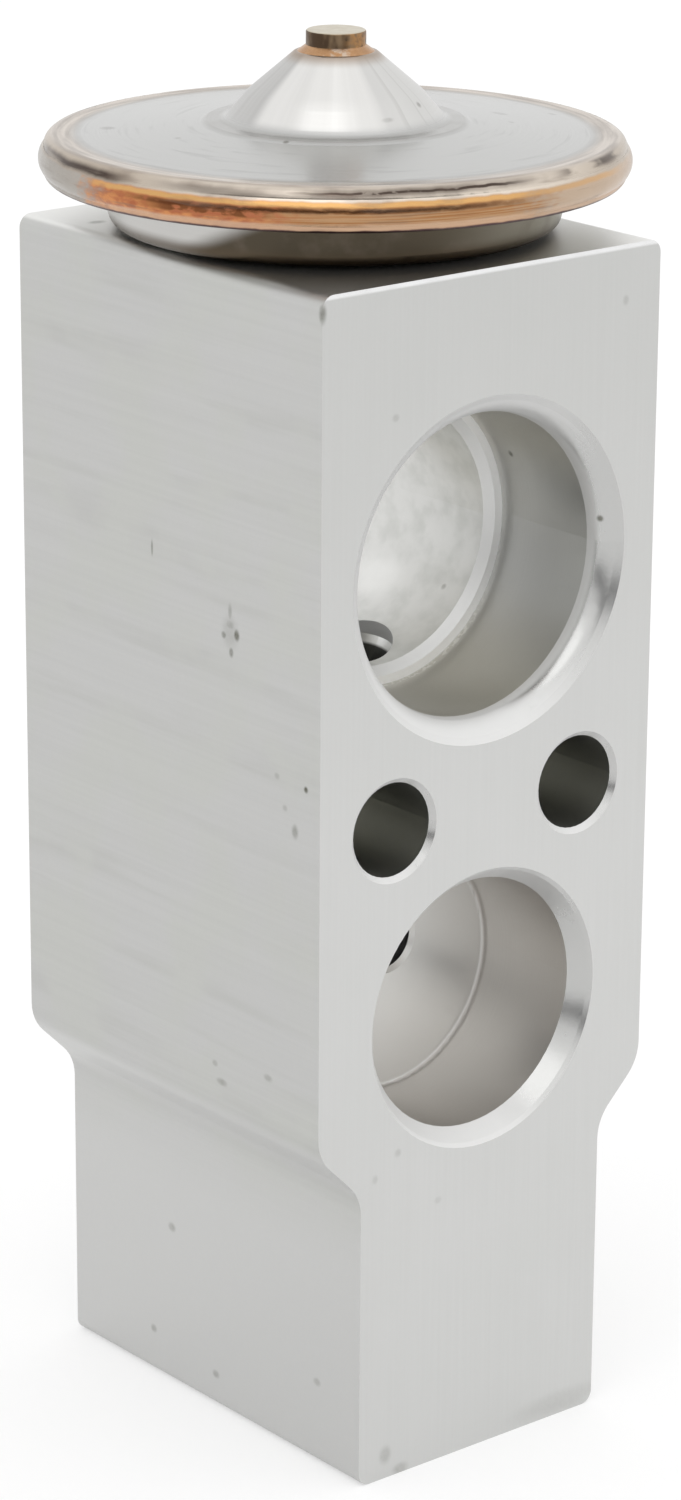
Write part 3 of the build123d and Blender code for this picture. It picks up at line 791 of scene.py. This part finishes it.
def plug_finish():
    """Cropped closing plug, brown round the side, and its small copper-coloured weld."""
    p = Paint("plug_steel")
    top = p.step(p.nz, 0.6, 0.8)
    grain = p.noise(0.5, 4.0)
    blotch = p.noise(0.8, 2.0, (1.0, 1.0, 2.5))
    brown = p.mix(p.step(blotch, 0.35, 0.65), plug_dark, plug_brown)
    silver = p.mix(grain, plug_top_light, plug_top_grey)
    scorched = p.both(p.step(p.azimuth(), -35.0, 5.0), p.step(grain, 0.35, 0.6))
    brown = p.mix(scorched, brown, plug_scorch)
    p.colour(p.mix(top, brown, silver))
    p.roughness(p.spread(grain, 0.25, 0.45))
    p.bump(grain, 0.02)
    p.cover("charge_plug")
    q = Paint("plug_weld_tint")
    grain = q.noise(0.6, 3.0)
    copper = q.mix(grain, copper_dark, copper_light)
    bare = q.both(q.band(q.azimuth(), -60.0, -15.0, 12.0), q.step(grain, 0.45, 0.6), 0.5)
    q.colour(q.mix(bare, copper, copper_bare_grey))
    q.roughness(0.25)
    q.bump(grain, 0.02)
    q.cover("plug_weld")


def inner_finishes():
    """Turned steel, spring wire, ball, ground rods, brass screw and black rubber rings."""
    for name, colour, metallic, rough, nodes in (
        ("turned_steel", (0.50, 0.50, 0.49), 1.0, 0.32, ("valve_seat", "ball_holder", "stop_plate")),
        ("spring_wire", (0.32, 0.32, 0.33), 1.0, 0.35, ("damping_spring", "superheat_spring", "diaphragm")),
        ("black_steel", (0.05, 0.05, 0.048), 1.0, 0.45, ("rod_seal_retainer",)),
        ("ball_steel", (0.62, 0.62, 0.63), 1.0, 0.10, ("valve_ball",)),
        ("ground_rod", (0.52, 0.52, 0.51), 1.0, 0.22, ("push_pin", "sensing_rod")),
        ("turned_brass", (0.72, 0.50, 0.22), 1.0, 0.30, ("adjusting_screw",)),
        ("black_rubber", (0.02, 0.02, 0.02), 0.0, 0.55, ("screw_seal", "rod_seal", "head_seal")),
    ):
        p = Paint(name, metallic)
        grain = p.noise(0.4, 3.0)
        p.colour(p.mix(grain, colour, tuple(0.8 * c for c in colour)))
        p.roughness(p.spread(grain, rough * 0.85, rough * 1.2))
        p.cover(*nodes)


def half_of(source, name, height, upper):
    """The part of a closed mesh above or below a height, closed again at the cut."""
    cut = bmesh.new()
    cut.from_mesh(source)
    parts = cut.verts[:] + cut.edges[:] + cut.faces[:]
    plane = {"plane_co": (0, 0, height), "plane_no": (0, 0, 1), "dist": cut_snap * mm}
    made = bmesh.ops.bisect_plane(cut, geom=parts, clear_inner=upper, clear_outer=not upper, **plane)
    rim = [part for part in made["geom_cut"] if isinstance(part, bmesh.types.BMVert)]
    bmesh.ops.remove_doubles(cut, verts=rim, dist=cut_merge * mm)
    flat = [edge for edge in cut.edges if all(abs(v.co.z - height) < cut_merge * mm for v in edge.verts)]
    caps = bmesh.ops.holes_fill(cut, edges=[edge for edge in flat if edge.is_boundary])["faces"]
    bmesh.ops.triangulate(cut, faces=caps)
    mesh = bpy.data.meshes.new(name)
    cut.to_mesh(mesh)
    cut.free()
    return mesh


def spring_halves():
    """The superheat spring in two halves that meet in its middle."""
    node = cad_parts["superheat_spring"]
    low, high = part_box("superheat_spring")
    bottom, top = (0, 0, low.z), (0, 0, high.z)
    middle = (0, 0, (low.z + high.z) / 2)
    for name, upper, bodies, start, end in (
        ("superheat_spring_lower", False, ("screw_seal", "valve_body"), bottom, middle),
        ("superheat_spring_upper", True, ("valve_body", "stem"), middle, top),
    ):
        mesh = half_of(node.data, name, middle[2], upper)
        mesh.materials.clear()
        mesh.materials.append(node.data.materials[0])
        half = bpy.data.objects.new(name, mesh)
        bpy.context.scene.collection.objects.link(half)
        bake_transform(half)
        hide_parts("superheat_spring")


add_camera()
add_sky()
add_floor()
add_light("key", key_azimuth, key_elevation, key_distance, key_size, key_power)
block_finish()
cap_finish()
dish_finish()
weld_finish()
plug_finish()
inner_finishes()
spring_halves()
bpy.context.scene.view_settings.view_transform = "Standard"
